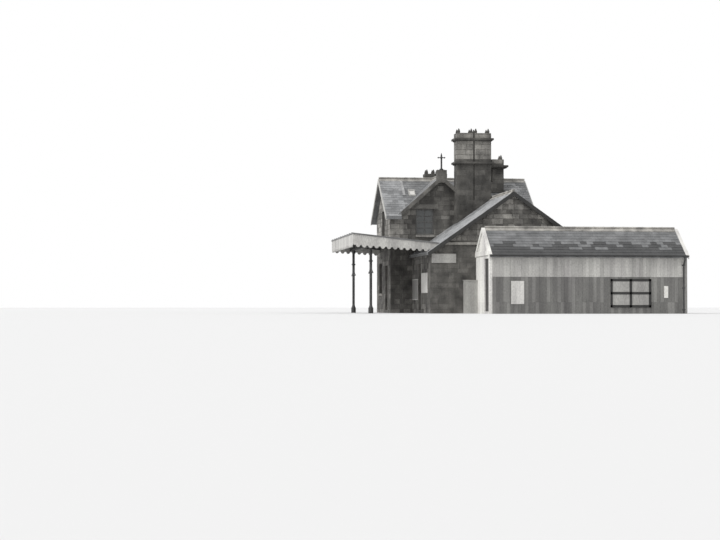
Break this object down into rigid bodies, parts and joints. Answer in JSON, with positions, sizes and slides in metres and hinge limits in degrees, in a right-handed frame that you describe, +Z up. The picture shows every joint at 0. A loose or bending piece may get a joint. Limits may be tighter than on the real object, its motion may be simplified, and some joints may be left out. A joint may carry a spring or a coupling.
{
  "type": "small railway station building",
  "caption": "Stone station house with a cross gable, tall chimney stacks, a lower wing, a columned platform canopy and a gabled end block.",
  "frame": {"origin": "middle of the plan's bounding box, at platform level", "axes": "+X away from the track, across the building and along the end block; +Y along the track, from the end block to the house; +Z up"},
  "size_m": [14.53, 12.998, 8.83],
  "materials": {
    "stone": "weathered coursed stone, soot darkened",
    "stack_stone": "dressed stone, lighter above the bands",
    "paving_stone": "worn flagstones",
    "ridge_stone": "sawn pale stone and ridge tiles",
    "slate": "grey roofing slates",
    "floor_boards": "bare boards",
    "roof_boards": "boards covered with grey sheet",
    "pale_paint": "pale oil paint, weathered",
    "dark_paint": "dark oil paint",
    "door_paint": "dark brown oil paint",
    "shed_boards": "weathered light grey boards",
    "white_boards": "white painted boards",
    "board_paint": "bare white board",
    "black_iron": "black painted iron",
    "dark_iron": "dark painted cast iron",
    "window_glass": "old clear glass over a dark room"
  },
  "bodies": {
    "root": {"house_near_wall": "stone", "house_far_wall": "stone", "house_platform_wall": "stone", "house_back_wall": "stone", "house_ground_floor": "paving_stone", "house_upper_floor": "floor_boards", "house_near_roof": "slate", "house_far_roof": "slate", "cross_gable_roof": "slate", "house_ridge_tiles": "ridge_stone", "cross_gable_coping": "stone", "house_bargeboards": "pale_paint", "gable_finial": "black_iron", "tall_stack": "stack_stone", "right_stack": "stack_stone", "left_stack": "stack_stone", "wing_gable_wall": "stone", "wing_platform_wall": "stone", "wing_back_wall": "stone", "wing_floor": "paving_stone", "wing_platform_roof": "slate", "wing_back_roof": "slate", "wing_ridge_tiles": "ridge_stone", "wing_bargeboards": "dark_paint", "wing_string_course": "ridge_stone", "house_windows": "pale_paint", "wing_windows": "pale_paint", "window_glass": "window_glass", "window_sills": "ridge_stone", "door_frames": "pale_paint", "panelled_doors": "door_paint", "canopy_roof": "roof_boards", "canopy_rafters": "dark_paint", "canopy_beam": "dark_paint", "canopy_fascia": "pale_paint", "canopy_valance": "pale_paint", "canopy_columns": "dark_iron", "canopy_brackets": "dark_iron", "shed_front_wall": "shed_boards", "shed_back_wall": "shed_boards", "shed_platform_end": "white_boards", "shed_far_end": "shed_boards", "shed_floor": "floor_boards", "shed_front_roof": "slate", "shed_back_roof": "slate", "shed_ridge_tiles": "ridge_stone", "shed_bargeboards": "pale_paint", "shed_door": "door_paint", "name_board": "board_paint", "notice_boards": "board_paint", "low_store": "shed_boards", "gutters": "dark_iron", "downpipes": "dark_iron", "roof_light": "pale_paint"}
  },
  "joints": []
}
